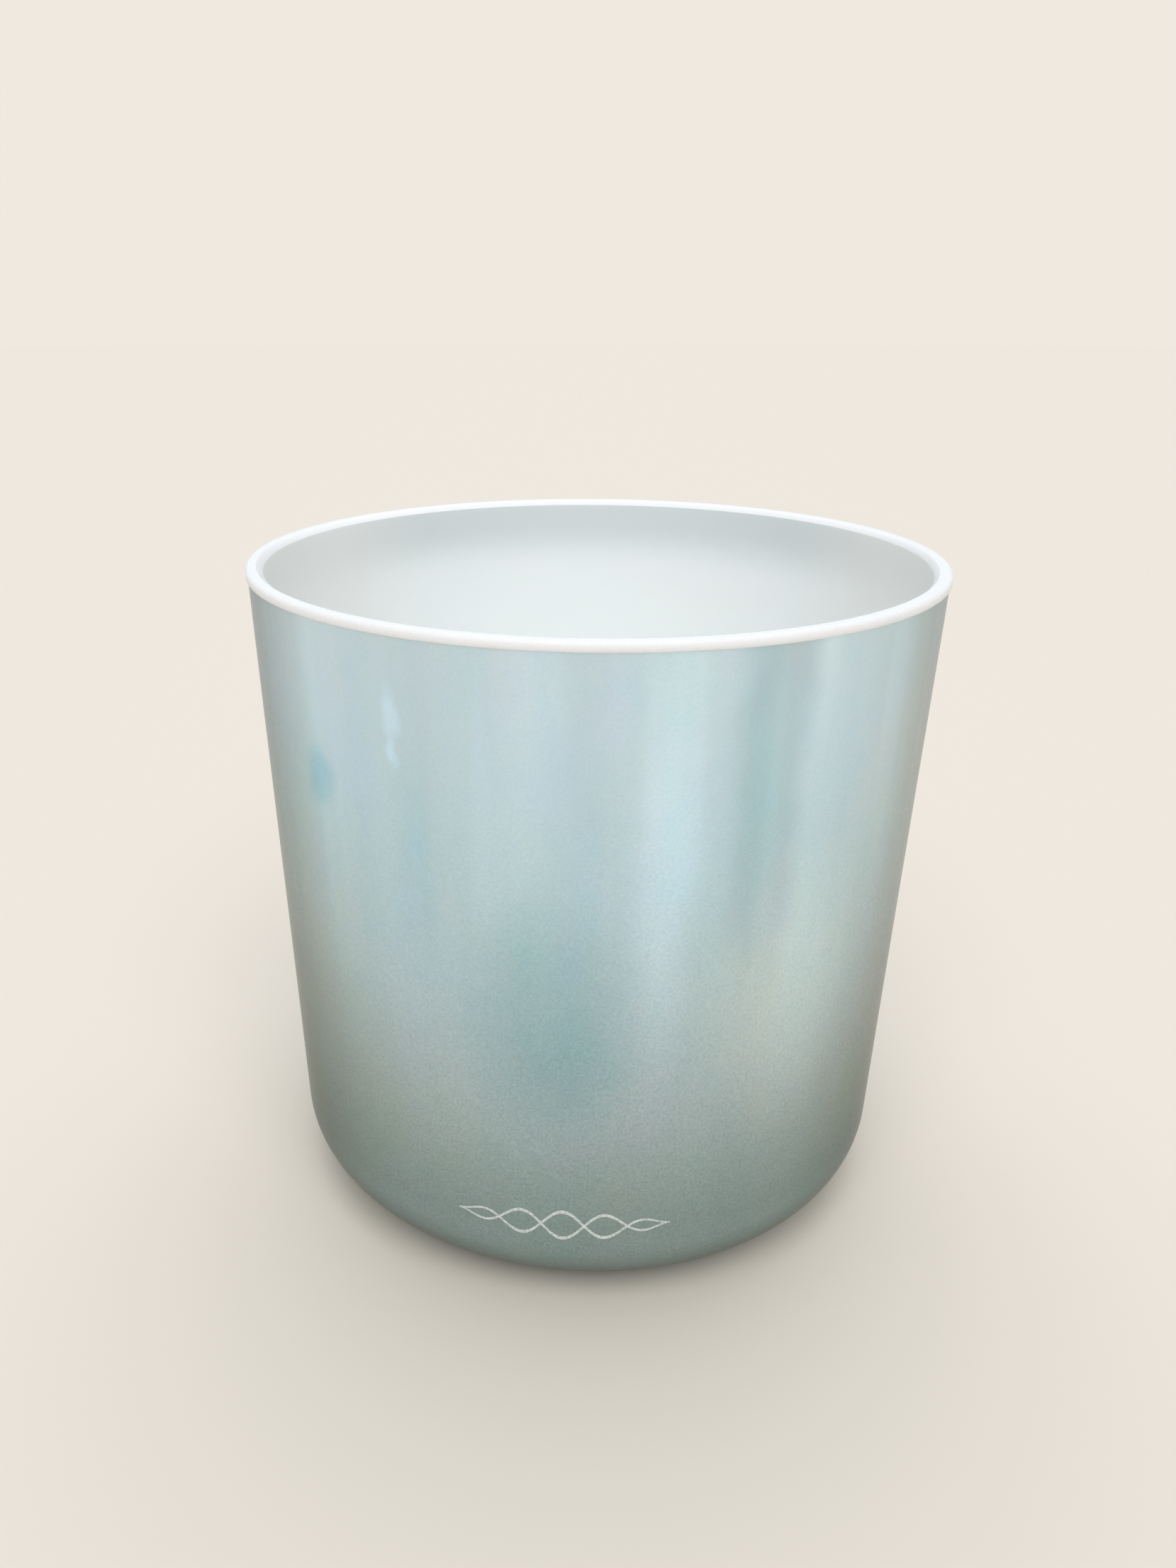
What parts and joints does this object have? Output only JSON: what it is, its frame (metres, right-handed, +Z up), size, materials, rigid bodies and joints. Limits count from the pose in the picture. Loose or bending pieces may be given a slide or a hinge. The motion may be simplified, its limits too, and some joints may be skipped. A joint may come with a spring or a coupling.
{
  "type": "singing bowl",
  "caption": "Deep round frosted quartz singing bowl with a bare ground lip, an aqua pearl coating outside and a small printed wave mark.",
  "frame": {"origin": "centre of the ground foot's flat face, which is the bottom of the bowl", "axes": "+Z up along the axis of the turned bowl; -Y faces the side with the printed mark; +X to the right of that side"},
  "size_m": [0.2032, 0.2032, 0.199],
  "materials": {
    "frosted_quartz": "milky white fused quartz, frosted inside, matt ground lip",
    "pearl_coating": "aqua pearl coating over fine-grained frosted quartz, satin gloss",
    "white_ink": "flat white print"
  },
  "bodies": {
    "root": {"bowl_body": "frosted_quartz", "pearl_coating": "pearl_coating", "printed_mark": "white_ink"}
  },
  "joints": []
}
